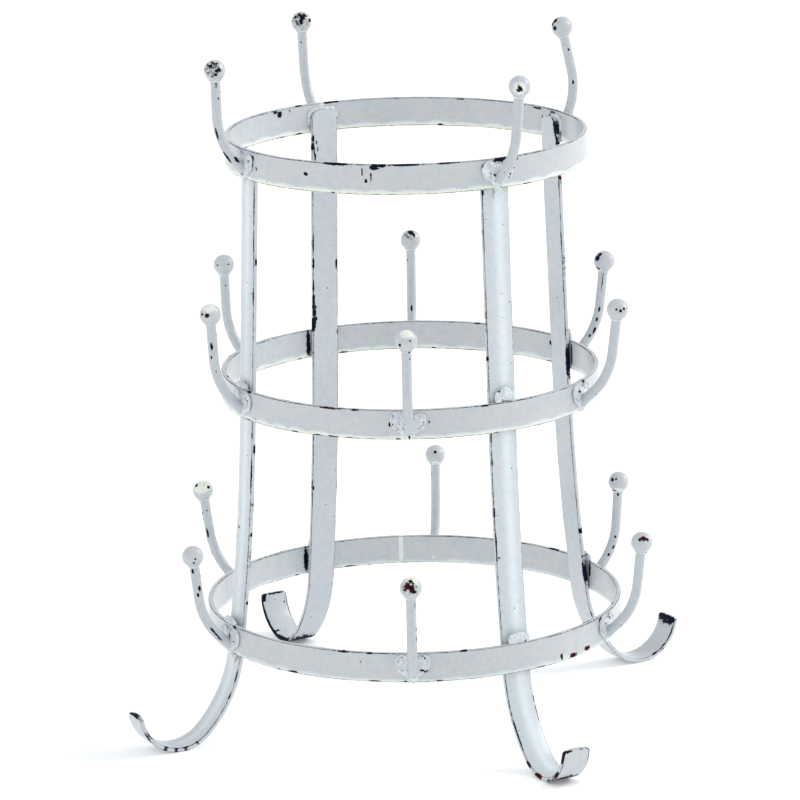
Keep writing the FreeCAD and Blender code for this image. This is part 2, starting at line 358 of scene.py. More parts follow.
def sum_up(tree, operation, first, second):
    """Arithmetic on two values."""
    return put(tree, "ShaderNodeMath", {0: first, 1: second}, operation=operation).outputs[0]


def mingle(tree, amount, first, second, way="MIX"):
    """One colour over another."""
    made = put(tree, "ShaderNodeMix", {0: amount, 6: first, 7: second}, data_type="RGBA",
               blend_type=way)
    return made.outputs[2]


def shade_group(name, inputs, outputs):
    """An empty shader node group with its sockets, and its two end nodes."""
    tree = bpy.data.node_groups.new(name, "ShaderNodeTree")
    for label, kind in inputs:
        tree.interface.new_socket(label, in_out="INPUT", socket_type=kind)
    for label, kind in outputs:
        tree.interface.new_socket(label, in_out="OUTPUT", socket_type=kind)
    return tree, tree.nodes.new("NodeGroupInput"), tree.nodes.new("NodeGroupOutput")


# Patterns in the brushed paint: scale, detail, and how far it is drawn out along the bar.
PAINT_PATTERNS = {
    "blotch": (90.0, 4.0),
    "tint": (230.0, 2.0),
    "dapple": (520.0, 2.0),
    "grain": (1400.0, 2.0),
    "streak": (900.0, 2.0, (0.08, 1, 1)),
}

# Faint washes in the paint: the pattern that each follows, the values at which it starts
# and is full, its strength, and its colour. After them come the share of each pattern in
# the paint's relief, and soft thresholds: from, to, and the values at either end.
PAINT_WASHES = [
    ("blotch", 0.4, 0.65, 0.7, (0.92, 0.98, 1.0, 1)),
    ("tint", 0.45, 0.68, 0.8, (0.96, 0.91, 1.0, 1)),
    ("dapple", 0.5, 0.68, 0.8, (0.86, 0.96, 0.97, 1)),
    ("streak", 0.45, 0.7, 0.3, (0.93, 0.94, 0.95, 1)),
]
PAINT_RELIEF = {"blotch": 0.6, "streak": 0.15, "dapple": 0.2, "grain": 0.06}
PAINT_ROUGHNESS = (0.3, 0.7, 0.32, 0.48)
POOL_PATCHES = (0.3, 0.55, 0.5, 1.0)
THICK_PAINT = 1.0
POOLED_PAINT = 2.0


def brushed_paint():
    """Brushed white gloss: mottled cool and warm, whiter where thick and where painted light rides on
    the thickness mark, and cream where it pooled.
    """
    tree, given, made = shade_group(
        "brushed_paint",
        [("Place", "NodeSocketVector"), ("Thin", "NodeSocketColor"), ("Thick", "NodeSocketColor"),
         ("Pooled", "NodeSocketColor"), ("Thickness", "NodeSocketFloat")],
        [("Color", "NodeSocketColor"), ("Roughness", "NodeSocketFloat"), ("Height", "NodeSocketFloat")],
    )
    patterns = {}
    for name, pattern in PAINT_PATTERNS.items():
        patterns[name] = cloud(tree, given.outputs["Place"], *pattern)
    thickness = given.outputs["Thickness"]
    thick = ramp(tree, thickness, 0.0, THICK_PAINT)
    pool = sum_up(tree, "MULTIPLY", ramp(tree, thickness, THICK_PAINT, POOLED_PAINT),
                  ramp(tree, patterns["blotch"], *POOL_PATCHES))
    colour = mingle(tree, thick, given.outputs["Thin"], given.outputs["Thick"])
    colour = mingle(tree, pool, colour, given.outputs["Pooled"])
    for name, start, full, strength, tone in PAINT_WASHES:
        wash = ramp(tree, patterns[name], start, full, 0.0, strength)
        colour = mingle(tree, wash, colour, tone, "MULTIPLY")
    tree.links.new(colour, made.inputs["Color"])
    rough = ramp(tree, patterns["blotch"], *PAINT_ROUGHNESS)
    tree.links.new(rough, made.inputs["Roughness"])
    height = 0.0
    for name, share in PAINT_RELIEF.items():
        height = sum_up(tree, "ADD", height, sum_up(tree, "MULTIPLY", patterns[name], share))
    tree.links.new(height, made.inputs["Height"])
    return tree


# Wear: the long patches where edges wear, the flecks that make it ragged, and dust for
# specks. Then the values between which each effect sets in, and how strong it gets.
WEAR_PATCHES = (45.0, 3.0, (0.7, 1, 1))
WEAR_FLECKS = (480.0, 4.0)
WEAR_DUST = (330.0, 1.0)
EDGE_WEAR = (0.52, 0.68)
LINE_WEAR = (0.42, 0.52, 0.0, 0.62)
RAGGEDNESS = 1.5
SPECK_SHARE = 0.10
SPECK_LEVELS = (0.815, 0.835)
BARE_LEVELS = (0.49, 0.54)
STAIN_LEVELS = (0.25, 0.55)
GRIME_LEVELS = (0.3, 0.6, 0.35, 1.0)


def chipping():
    """Where the paint has come off, and the grime that marks its corners and broken edges."""
    tree, given, made = shade_group(
        "chipping",
        [("Place", "NodeSocketVector"), ("Edge", "NodeSocketFloat"), ("Corner", "NodeSocketFloat"),
         ("Knock", "NodeSocketFloat"), ("Amount", "NodeSocketFloat"), ("Specks", "NodeSocketFloat")],
        [("Bare", "NodeSocketFloat"), ("Stain", "NodeSocketFloat"), ("Grime", "NodeSocketFloat")],
    )
    place = given.outputs["Place"]
    patch = cloud(tree, place, *WEAR_PATCHES)
    fleck = cloud(tree, place, *WEAR_FLECKS)
    dust = cloud(tree, place, *WEAR_DUST)
    edge = sum_up(tree, "MULTIPLY", given.outputs["Edge"], given.outputs["Amount"])
    worn = sum_up(tree, "MULTIPLY", edge, ramp(tree, patch, *EDGE_WEAR))
    thin_line = sum_up(tree, "MULTIPLY", given.outputs["Corner"], ramp(tree, patch, *LINE_WEAR))
    worn = sum_up(tree, "MAXIMUM", worn, given.outputs["Knock"])
    worn = sum_up(tree, "MAXIMUM", worn, thin_line)
    ragged = sum_up(tree, "MULTIPLY", sum_up(tree, "SUBTRACT", fleck, 0.5), RAGGEDNESS)
    level = sum_up(tree, "ADD", worn, ragged)
    dusty = sum_up(tree, "ADD", dust, sum_up(tree, "MULTIPLY", given.outputs["Specks"], SPECK_SHARE))
    speck = ramp(tree, dusty, *SPECK_LEVELS)
    bare = sum_up(tree, "MAXIMUM", ramp(tree, level, *BARE_LEVELS), speck)
    tree.links.new(bare, made.inputs["Bare"])
    tree.links.new(ramp(tree, level, *STAIN_LEVELS), made.inputs["Stain"])
    grime = sum_up(tree, "MULTIPLY", given.outputs["Corner"], ramp(tree, fleck, *GRIME_LEVELS))
    tree.links.new(grime, made.inputs["Grime"])
    return tree


METAL_PATCHES = (300.0, 3.0)
NAVY_LEVELS = (0.4, 0.62)
NAVY = ((0.001, 0.002, 0.006, 1), (0.002, 0.008, 0.040, 1))
MAROON_LEVELS = (0.4, 0.6)
MAROON = ((0.020, 0.001, 0.004, 1), (0.075, 0.003, 0.010, 1))
METAL_ROUGHNESS = (0.3, 0.7, 0.5, 0.75)


def bare_metal():
    """Old dark coating and rust under the paint: near black, navy or maroon."""
    tree, given, made = shade_group(
        "bare_metal",
        [("Place", "NodeSocketVector"), ("Redness", "NodeSocketFloat")],
        [("Color", "NodeSocketColor"), ("Roughness", "NodeSocketFloat")],
    )
    patch = cloud(tree, given.outputs["Place"], *METAL_PATCHES)
    navy = mingle(tree, ramp(tree, patch, *NAVY_LEVELS), *NAVY)
    maroon = mingle(tree, ramp(tree, patch, *MAROON_LEVELS), *MAROON)
    colour = mingle(tree, given.outputs["Redness"], navy, maroon)
    tree.links.new(colour, made.inputs["Color"])
    tree.links.new(ramp(tree, patch, *METAL_ROUGHNESS), made.inputs["Roughness"])
    return tree


PAINT = brushed_paint()
CHIPS = chipping()
METAL = bare_metal()
CREAM = (0.82, 0.82, 0.57, 1)
GRIME_TINT = (0.30, 0.30, 0.34, 1)
STAIN_TINT = (0.62, 0.58, 0.47, 1)
PAINT_SPECULAR = 0.08
COAT_WEIGHT = 0.7
COAT_ROUGHNESS = 0.22
RELIEF_STRENGTH = 0.4
RELIEF_DEPTH = 0.00025
WELD_PATCHES = 420.0
WELD_THICKNESS = (0.45, 0.7)


def finish(name, thin, thick, wear, specks, edges=None, marked=True):
    """A paint finish over iron. A marked piece carries the straight bar's coordinates and marks."""
    material = bpy.data.materials.new(name)
    material.use_nodes = True
    tree = material.node_tree
    shader = tree.nodes["Principled BSDF"]
    shader.inputs["Specular IOR Level"].default_value = PAINT_SPECULAR
    shader.inputs["Coat Roughness"].default_value = COAT_ROUGHNESS
    if marked:
        place = put(tree, "ShaderNodeAttribute", attribute_name="bar").outputs["Vector"]
        marks = put(tree, "ShaderNodeAttribute", attribute_name="marks").outputs["Vector"]
        worn, red, thickness = put(tree, "ShaderNodeSeparateXYZ", {0: marks}).outputs
    else:
        place = put(tree, "ShaderNodeTexCoord").outputs["Object"]
        worn = 0.0
        red = 0.0
        thickness = ramp(tree, cloud(tree, place, WELD_PATCHES), *WELD_THICKNESS)
    edge, corner = edges(tree, place) if edges else (0.0, 0.0)
    paint = put(tree, "ShaderNodeGroup", {"Place": place, "Thin": thin, "Thick": thick, "Pooled": CREAM,
                                          "Thickness": thickness}, node_tree=PAINT)
    chips = put(tree, "ShaderNodeGroup", {"Place": place, "Edge": edge, "Corner": corner, "Knock": worn,
                                          "Amount": wear, "Specks": specks}, node_tree=CHIPS)
    metal = put(tree, "ShaderNodeGroup", {"Place": place, "Redness": red}, node_tree=METAL)
    bare = chips.outputs["Bare"]
    dirty = mingle(tree, chips.outputs["Grime"], paint.outputs["Color"], GRIME_TINT, "MULTIPLY")
    stained = mingle(tree, chips.outputs["Stain"], dirty, STAIN_TINT, "MULTIPLY")
    colour = mingle(tree, bare, stained, metal.outputs["Color"])
    tree.links.new(colour, shader.inputs["Base Color"])
    rough = put(tree, "ShaderNodeMix",
                {0: bare, 2: paint.outputs["Roughness"], 3: metal.outputs["Roughness"]},
                data_type="FLOAT").outputs[0]
    tree.links.new(rough, shader.inputs["Roughness"])
    tree.links.new(ramp(tree, bare, 0.0, 1.0, COAT_WEIGHT, 0.0), shader.inputs["Coat Weight"])
    height = sum_up(tree, "SUBTRACT", paint.outputs["Height"], bare)
    bump = put(tree, "ShaderNodeBump", {"Height": height, "Strength": RELIEF_STRENGTH,
                                        "Distance": RELIEF_DEPTH})
    tree.links.new(bump.outputs["Normal"], shader.inputs["Normal"])
    return material


# Distances in from a bar's long edge, between which the wear of the edge sets in, and the
# thin dark line of a corner starts and ends.
EDGE_BAND = (0.0009, 0.0001)
LINE_START = (0.0009, 0.0005)
LINE_END = (0.0004, 0.0001)


def bar_edges(tree, place):
    """The long edges of a bar, and the thin line of each of its four long corners."""
    across = put(tree, "ShaderNodeSeparateXYZ", {0: place}).outputs[1]
    reach = sum_up(tree, "ABSOLUTE", across, 0.0)

    def rise(first, last):
        return ramp(tree, reach, BAR_WIDTH / 2 - first, BAR_WIDTH / 2 - last)

    return rise(*EDGE_BAND), sum_up(tree, "SUBTRACT", rise(*LINE_START), rise(*LINE_END))


# The thick colour lightens each hoop's lower band: thick paint, plus painted light from the floor.
hoop_finish = finish("hoop_finish", (0.535, 0.55, 0.555, 1), (0.74, 0.79, 0.77, 1), 0.35, 0.4, bar_edges)

for number, (tier, seam) in enumerate(SEAM_DIRECTIONS.items()):
    radius = hoop_size(tier)[0]

    def along_hoop(azimuth):
        """Distance along the straight bar to a direction in degrees."""
        return math.radians((azimuth - seam) % 360) * radius - SEAM_GAP / 2

    across_from = SCATTER_SIDE + 180
    on_outer = scatter(SCATTER_SIDE - SCATTER_SPREAD, SCATTER_SIDE + SCATTER_SPREAD, HOOP_SCATTER)
    on_inner = scatter(across_from - SCATTER_SPREAD, across_from + SCATTER_SPREAD, HOOP_SCATTER)
    listed = HOOP_KNOCKS[tier]
    knocks = {"outer": listed["outer"] + on_outer, "inner": listed["inner"] + on_inner}
    bar = straight_bar(2 * math.pi * radius - SEAM_GAP, HOOP_THICKNESS, HOOP_CORNER, HOOP_STEP)
    paint_runs(bar, lay_out(knocks, along_hoop), BAND_PAINT_AND_LIGHT[tier], HOOP_SEED * number)
    bend(bar, roll_up(tier, SEAM_GAP / 2))
    keep("hoop_" + tier + "_bar", bar, hoop_finish, ["hoop_" + tier])

# ---------------------------------------------------------------- Hoop joints
# The two ends of each hoop's bar meet in a butt joint. It was filled with weld
# and filed, and a low ridge of it still shows under the paint.
JOINT_LENGTH = 0.0048
JOINT_STEPS = 6
JOINT_PROUD = 0.00022
JOINT_PAINT = 0.8


def gather(heap, part):
    """Adds a finished part to the heap of like parts that makes one piece."""
    mesh = bpy.data.meshes.new("part")
    part.to_mesh(mesh)
    part.free()
    heap.from_mesh(mesh)
    bpy.data.meshes.remove(mesh)


joints = bmesh.new()
for tier in SEAM_DIRECTIONS:
    thickness = HOOP_THICKNESS + 2 * JOINT_PROUD
    ridge = straight_bar(JOINT_LENGTH, thickness, HOOP_CORNER, JOINT_LENGTH / JOINT_STEPS)
    marks = ridge.verts.layers.float_vector.new("marks")
    for vertex in ridge.verts:
        from_middle = 2 * vertex.co.x / JOINT_LENGTH - 1
        side = 1 if vertex.co.z > -HOOP_THICKNESS / 2 else -1
        vertex.co.z -= side * 2 * JOINT_PROUD * from_middle ** 2
        vertex[marks] = (0, 0, JOINT_PAINT)
    bend(ridge, roll_up(tier, -JOINT_LENGTH / 2, JOINT_PROUD))
    gather(joints, ridge)
keep("hoop_joint_ridges", joints, hoop_finish, ["hoop_seam_welds"])

# ---------------------------------------------------------------- Legs
# Four iron bars with a domed outer face, as wide as the hoops and welded inside
# them. Below the bottom hoop each one sweeps out, curls under and comes back
# up. Their long edges have lost the most paint.
LEG_CROWN = 0.0035
LEG_DOME = 0.0010
LEG_CORNER = 0.0008
LEG_STEP = 0.0009
LEG_DROP = 0.004
LEG_END_ROUNDING = 0.0065
TIP_ROUNDING = 0.0022
SWEEP_RADIUS = 0.080
CURL_RADIUS = 0.025
CURL_END_ANGLE = 175
LEG_DIRECTIONS = {"right": 2, "back": 90, "left": 178, "front": 270}
LEG_WAVER = 1.2 * HAND_WAVER
LEG_SEED = 20
LEG_EDGE_SEED = 30

# The outer face is painted lighter, for the light that falls on it, with a painted highlight
# in a stripe down its crown, a little to one side. Both end above the foot.
LEG_PAINTED_LIGHT = 0.25
CROWN_HIGHLIGHT = 0.6
HIGHLIGHT_SIDE = 0.0015
HIGHLIGHT_SPREAD = 0.0034
FOOT_START = 0.386
FOOT_FADE = 0.014

# Knocks in each leg: distance from its top end, distance from its right edge seen
# from outside, half length and half width in millimetres, and how red the metal is.
# The wide marks mid-face on the inner lists at 383 to 404 mm lie under the feet: worn paint where a foot
# stands, and also a painted contact shadow.
LEG_KNOCKS = {
    "right": {
        "outer": [
            (60, 7, 2, 1, 0.0), (210, 12, 3, 1, 0.2), (433, 9.5, 9, 16, 0.0),
            (421, 18.4, 5, 0.45, 0.0), (411, 18.4, 2, 0.42, 0.0), (403, 18.5, 2.6, 0.9, 0.7),
        ],
        "inner": [
            (7, 17.4, 7, 2.4, 0.0), (18, 18.2, 9, 1.2, 0.0), (5, 15.6, 2, 1.2, 0.0),
            (44, 18.4, 4, 0.42, 0.0), (80, 18.4, 9, 0.4, 0.0),
            (112, 18.4, 3, 0.42, 0.0), (142, 18.4, 4, 0.48, 0.0), (161, 18.6, 12, 1.4, 0.0),
            (307, 18.6, 9, 1.6, 0.0), (336, 18.4, 3, 0.48, 0.0), (352, 18.4, 12, 0.4, 0.0),
            (136, 0.6, 2, 0.48, 0.0), (153, 0.6, 3, 0.6, 0.0), (394, 9.5, 3, 6, 0.3),
        ],
    },
    "back": {
        "outer": [
            (120, 4, 3, 1, 0.0), (300, 15, 2, 2, 0.3), (431, 9.5, 1.8, 12, 0.0),
            (405, 0.0, 29, 0.9, 0.0), (421, 18.2, 9, 0.45, 0.0), (402, 2.4, 1.0, 3.0, 0.0),
            (392, 0.8, 6, 1.4, 0.0), (399, 17, 1.2, 0.8, 0.0), (428, 1.2, 3, 1.8, 0.0),
            (423, 16, 0.8, 0.8, 0.2),
        ],
        "inner": [
            (18, 1.0, 2.4, 1.1, 0.0), (24, 0.8, 3.2, 1.2, 0.0), (27.5, 1.8, 2.8, 0.7, 0.0),
            (31, 2.4, 2.8, 0.7, 0.0), (21, 3.2, 1.8, 0.6, 0.0), (26, 4.2, 1.8, 0.5, 0.0),
            (102, 0.7, 5, 0.7, 0.0), (104, 17.8, 4, 0.9, 0.2), (88, 0.6, 7, 0.55, 0.0),
            (118, 0.6, 6, 0.6, 0.0), (128, 0.8, 8, 0.9, 0.0), (136, 1.2, 4, 1.4, 0.0),
            (140, 2.6, 1.6, 0.8, 0.0), (143, 0.9, 5, 1.7, 0.0), (132, 2.2, 1.0, 0.7, 0.0),
            (147, 0.6, 2, 1.3, 0.0), (257, 0.8, 2, 0.8, 0.0), (383, 9.5, 9, 12, 0.0),
            (383, 18.0, 3, 1.2, 0.3),
        ],
    },
    "left": {
        "outer": [
            (30, 0.6, 15, 0.42, 0.1), (55, 0.6, 8, 0.4, 0.0), (88, 0.6, 6, 0.4, 0.0),
            (178, 0.6, 3, 0.42, 0.0), (204, 0.6, 11, 0.54, 0.0), (334, 0.6, 5, 0.48, 0.0),
            (348, 0.6, 3, 0.48, 0.0), (428, 12, 3.2, 8, 0.0), (240, 14, 0.8, 1.6, 0.3),
        ],
        "inner": [
            (431, 9.5, 1.7, 12, 0.0), (418, 0.45, 5, 0.5, 0.0), (404, 0.45, 2.0, 0.55, 0.0),
            (397, 0.4, 1.6, 0.55, 0.0), (391, 0.45, 2.6, 0.55, 0.0), (383, 0.4, 1.0, 0.5, 0.0),
            (394, 9, 4, 6, 0.3), (70, 16, 3, 1.2, 0.0),
        ],
    },
    "front": {
        "outer": [
            (17, 18.4, 3, 0.8, 0.0), (170, 18.4, 4, 0.48, 0.0), (186, 18.4, 4, 0.4, 0.0),
            (218, 18.4, 4, 0.54, 0.0), (240, 18.4, 12, 0.4, 0.0), (339, 0.6, 3, 0.54, 0.3),
            (348, 0.6, 9, 0.4, 0.0), (379, 18.8, 3, 0.6, 0.4), (360, 18.4, 12, 0.4, 0.0),
            (391, 19, 4, 1.3, 1.0), (427, 18.8, 4, 0.8, 0.4), (418, 18.5, 6, 0.45, 0.1),
        ],
        "inner": [
            (404, 9.5, 7, 11, 0.2), (431, 16, 1.8, 3.5, 0.3), (431.5, 5, 1.4, 6, 0.4),
            (426, 0.4, 6, 0.7, 0.1), (413, 18.8, 3, 0.7, 0.3), (50, 4, 4, 1, 0.0),
        ],
    },
}
LEG_SCATTER = 12
LEG_SCATTER_RUN = (15, 375)


def hoop_foot(tier):
    """The lower inner edge of a hoop, where a leg is welded to it: distance out and height."""
    radius, lower, _ = hoop_size(tier)
    return radius - HOOP_THICKNESS, lower


def walk(start, heading, runs, distance):
    """The point and heading after a distance along straight and bent runs in a plane.

    Each run is its length and its bend radius, 0 where it is straight. Bends turn to the left,
    and the last run carries on past its end.
    """
    out, height = start
    for number, (length, radius) in enumerate(runs):
        is_last = number == len(runs) - 1
        part = distance if is_last else min(distance, length)
        if radius == 0:
            out += part * math.cos(heading)
            height += part * math.sin(heading)
        else:
            turn = heading + part / radius
            out += radius * (math.sin(turn) - math.sin(heading))
            height += radius * (math.cos(heading) - math.cos(turn))
            heading = turn
        distance -= part
        if distance <= 0:
            break
    return out, height, heading


# A leg leans straight from the top hoop to the middle one, goes on in a shallow arc to the
# bottom one, sweeps outward until its curl just reaches the floor, and curls up.
high_foot = hoop_foot("top")
middle_foot = hoop_foot("middle")
low_foot = hoop_foot("bottom")
lean = math.atan2(middle_foot[0] - high_foot[0], high_foot[1] - middle_foot[1])
chord = math.atan2(low_foot[0] - middle_foot[0], middle_foot[1] - low_foot[1])
flare = 2 * chord - lean
span = math.hypot(low_foot[0] - middle_foot[0], middle_foot[1] - low_foot[1])
shallow = span / (2 * math.sin((flare - lean) / 2))
above = BAR_WIDTH - LEG_DROP
leg_start = (high_foot[0] - above * math.sin(lean), high_foot[1] + above * math.cos(lean))
straight = above + math.hypot(middle_foot[0] - high_foot[0], high_foot[1] - middle_foot[1])
drop = low_foot[1] + SWEEP_RADIUS * math.sin(flare) - CURL_RADIUS - LEG_CROWN
sweep_turn = math.asin(drop / (SWEEP_RADIUS - CURL_RADIUS))
LEG_RUNS = [
    (straight, 0),
    (shallow * (flare - lean), shallow),
    (SWEEP_RADIUS * (sweep_turn - flare), SWEEP_RADIUS),
    (CURL_RADIUS * (math.radians(CURL_END_ANGLE) - sweep_turn), CURL_RADIUS),
]
LEG_LENGTH = sum(length for length, radius in LEG_RUNS)


def along_leg(distance):
    """Millimetres from the top end of a leg to metres along the straight bar."""
    return distance / 1000


def round_end(vertex, distance, rounding):
    """Draws the bar in near an end, so that the end's corners are round."""
    if distance < rounding:
        reach = math.sqrt(max(0.0, rounding ** 2 - (rounding - distance) ** 2))
        vertex.co.y *= 1 - (rounding - reach) / (BAR_WIDTH / 2)


# On the legs the thick colour is the colour of painted light: a lighter outer face and a highlight down
# the crown.
leg_finish = finish("leg_finish", (0.56, 0.585, 0.60, 1), (0.70, 0.755, 0.775, 1), 0.4, 0.6, bar_edges)

for number, (side_name, direction) in enumerate(LEG_DIRECTIONS.items()):
    scattered_on = "outer" if math.cos(math.radians(direction - SCATTER_SIDE)) > 0 else "inner"
    listed = dict(LEG_KNOCKS[side_name])
    listed[scattered_on] = listed[scattered_on] + scatter(*LEG_SCATTER_RUN, LEG_SCATTER)
    knocks = lay_out(listed, along_leg)
    bar = straight_bar(LEG_LENGTH, LEG_CROWN, LEG_CORNER, LEG_STEP, LEG_DOME)
    marks = bar.verts.layers.float_vector.new("marks")
    for vertex in bar.verts:
        side = 1 if vertex.co.z > -LEG_CROWN / 2 else -1
        worn, red = knock_strength(knocks["outer" if side > 0 else "inner"], vertex.co.x, vertex.co.y)
        # A leg's thickness mark holds painted light, not paint: the outer face painted lighter, with a
        # painted highlight down the crown.
        crown = math.exp(-((vertex.co.y - HIGHLIGHT_SIDE) / HIGHLIGHT_SPREAD) ** 2)
        above_foot = 1 - smooth_step(FOOT_START, FOOT_START + FOOT_FADE, vertex.co.x)
        thick = (LEG_PAINTED_LIGHT + CROWN_HIGHLIGHT * crown) * above_foot if side > 0 else 0
        vertex[marks] = (worn, red, thick)
        vertex.co.z += side * LEG_WAVER * waver(vertex.co, FACE_PITCH, LEG_SEED + number)
        vertex.co.y += 2 * HAND_WAVER * waver(vertex.co, EDGE_PITCH, LEG_EDGE_SEED + number)
        round_end(vertex, vertex.co.x, LEG_END_ROUNDING)
        round_end(vertex, LEG_LENGTH - vertex.co.x, TIP_ROUNDING)

    def down_leg(point):
        """Bends the straight bar into the leg."""
        out, height, heading = walk(leg_start, lean - math.pi / 2, LEG_RUNS, point.x)
        out -= point.z * math.sin(heading)
        height += point.z * math.cos(heading)
        return Matrix.Rotation(math.radians(direction), 3, "Z") @ Vector((out, point.y, height))

    bend(bar, down_leg)
    keep("leg_" + side_name + "_bar", bar, leg_finish, ["leg_" + side_name])

# ---------------------------------------------------------------- Leg welds
# A rope of weld runs round the top end of each leg, on the hoop's inner face.
# At the two lower hoops a short lumpy bead lies on the hoop's upper edge,
# against the face of the leg.
WELD_SEED = 11
WELD_GRAIN = 0.00035
WELD_SOFTNESS = 0.5
WELD_SOFTENINGS = 3
LUMP_DETAIL = 3
LUMP_SHIFT = 0.0004
ROPE_RADIUS = 0.0013
ROPE_SIDE = 0.0085
ROPE_LUMPS = 44
ROPE_SIZES = (0.85, 1.15)
ROPE_INSET = 0.0006
ROPE_MARGIN = 0.0004
ARCH_SQUARENESS = 0.55

# A bead's lumps: how far they spread to each side, how far out from the hoop's inner face
# they lie, and their size. The outer ones are smaller and lower. How far a bead rises
# depends on the hoop and on the leg.
BEAD_LUMPS = 6
BEAD_SPREAD = 0.0056
BEAD_OUTSET = 0.0013
BEAD_SIZES = (0.0020, 0.0026)
BEAD_FULLNESS = 1.1
BEAD_NARROWING = 0.25
BEAD_FALL = 0.5
BEAD_DEPTH = 0.75
BEAD_HEIGHT = 0.5
BEAD_LIFT = 0.0005
BEAD_RISES = {"middle": 0.0046, "bottom": 0.0032}
LEG_BEADS = {"right": 0.7, "back": 0.7, "left": 0.25, "front": 1.0}


def melt(name, lumps, material, nodes):
    """Joins overlapping lumps, each a direction, place and size, into one skin as molten weld does."""
    heap = bmesh.new()
    for direction, place, size in lumps:
        turned = Matrix.Rotation(math.radians(direction), 4, "Z")
        stretched = Matrix.Diagonal((*size, 1))
        lump = bmesh.new()
        bmesh.ops.create_icosphere(lump, subdivisions=LUMP_DETAIL, radius=1,
                                   matrix=turned @ Matrix.Translation(place) @ stretched)
        gather(heap, lump)
    piece = keep(name, heap, material, nodes)
    skin = piece.modifiers.new("one skin", "REMESH")
    skin.mode = "VOXEL"
    skin.voxel_size = WELD_GRAIN
    skin.use_smooth_shade = True
    soft = piece.modifiers.new("flow", "SMOOTH")
    soft.factor = WELD_SOFTNESS
    soft.iterations = WELD_SOFTENINGS


def arch_point(turn, wide, tall):
    """A point on a squared arch, for a turn from 0 at its right foot to pi at its left foot."""
    across = math.copysign(abs(math.cos(turn)) ** ARCH_SQUARENESS, math.cos(turn))
    return wide * across, tall * math.sin(turn) ** ARCH_SQUARENESS


weld_finish = finish("weld_finish", (0.60, 0.63, 0.64, 1), (0.76, 0.81, 0.82, 1), 0.0, 1.35, None, False)
weld_chance = random.Random(WELD_SEED)

lumps = []
for direction in LEG_DIRECTIONS.values():
    out = hoop_foot("top")[0] - ROPE_INSET
    crest = hoop_size("top")[2] - LEG_DROP
    for step in range(ROPE_LUMPS + 1):
        turn = math.pi * step / ROPE_LUMPS
        side, height = arch_point(turn, BAR_WIDTH / 2 + ROPE_MARGIN, ROPE_SIDE + ROPE_MARGIN)
        size = ROPE_RADIUS * weld_chance.uniform(*ROPE_SIZES)
        rise = crest - ROPE_SIDE + height + weld_chance.uniform(-LUMP_SHIFT, LUMP_SHIFT)
        lumps.append((direction, Vector((out, side, rise)), (size, size, size)))
melt("leg_ropes_top", lumps, weld_finish, ["leg_welds_top"])

for tier, full_rise in BEAD_RISES.items():
    out = hoop_foot(tier)[0] + BEAD_OUTSET
    edge = hoop_size(tier)[2]
    lumps = []
    for side_name, direction in LEG_DIRECTIONS.items():
        rise = full_rise * LEG_BEADS[side_name]
        for step in range(BEAD_LUMPS):
            share = step / (BEAD_LUMPS - 1) * 2 - 1
            side = BEAD_SPREAD * share + weld_chance.uniform(-LUMP_SHIFT, LUMP_SHIFT)
            size = weld_chance.uniform(*BEAD_SIZES) * (BEAD_FULLNESS - BEAD_NARROWING * abs(share))
            lift = weld_chance.uniform(-BEAD_LIFT, BEAD_LIFT)
            height = edge + rise * (BEAD_FULLNESS - BEAD_FALL * abs(share)) + lift
            reach = (BEAD_DEPTH * size, size, size + BEAD_HEIGHT * rise)
            lumps.append((direction, Vector((out, side, height)), reach))
    melt("leg_beads_" + tier, lumps, weld_finish, ["leg_welds_" + tier])

# ---------------------------------------------------------------- Pegs
# Sixteen pegs of round iron rod, bent to one shape and welded to the outside
# of the hoops. Each was set by hand, so it leans by its own few degrees.
ROD_RADIUS = 0.00315
ROD_SIDES = 36
ROD_STEP = 0.0008
ROD_WAVER = 0.02
ROD_PITCH = 0.006
FOOT_DROP = 0.0145
FOOT_ANGLE = 45
FOOT_LENGTH = 0.012
FOOT_BURIED = 0.006
FOOT_INSIDE = 0.0004
BEND_RADIUS = 0.045
TOP_ANGLE = 6
TOP_LENGTH = 0.0250
TIER_SEED = 7
PEG_LEANS = {
    "top": {0: -19.5, 90: -2, 180: -5, 270: 2.5},
    "middle": {0: 1.5, 60: 0, 120: -4.5, 180: -3, 240: 0, 303: 1.5},
    "bottom": {0: -1.5, 55: 0, 120: 3.5, 180: 1, 240: 0, 306: 0.5},
}

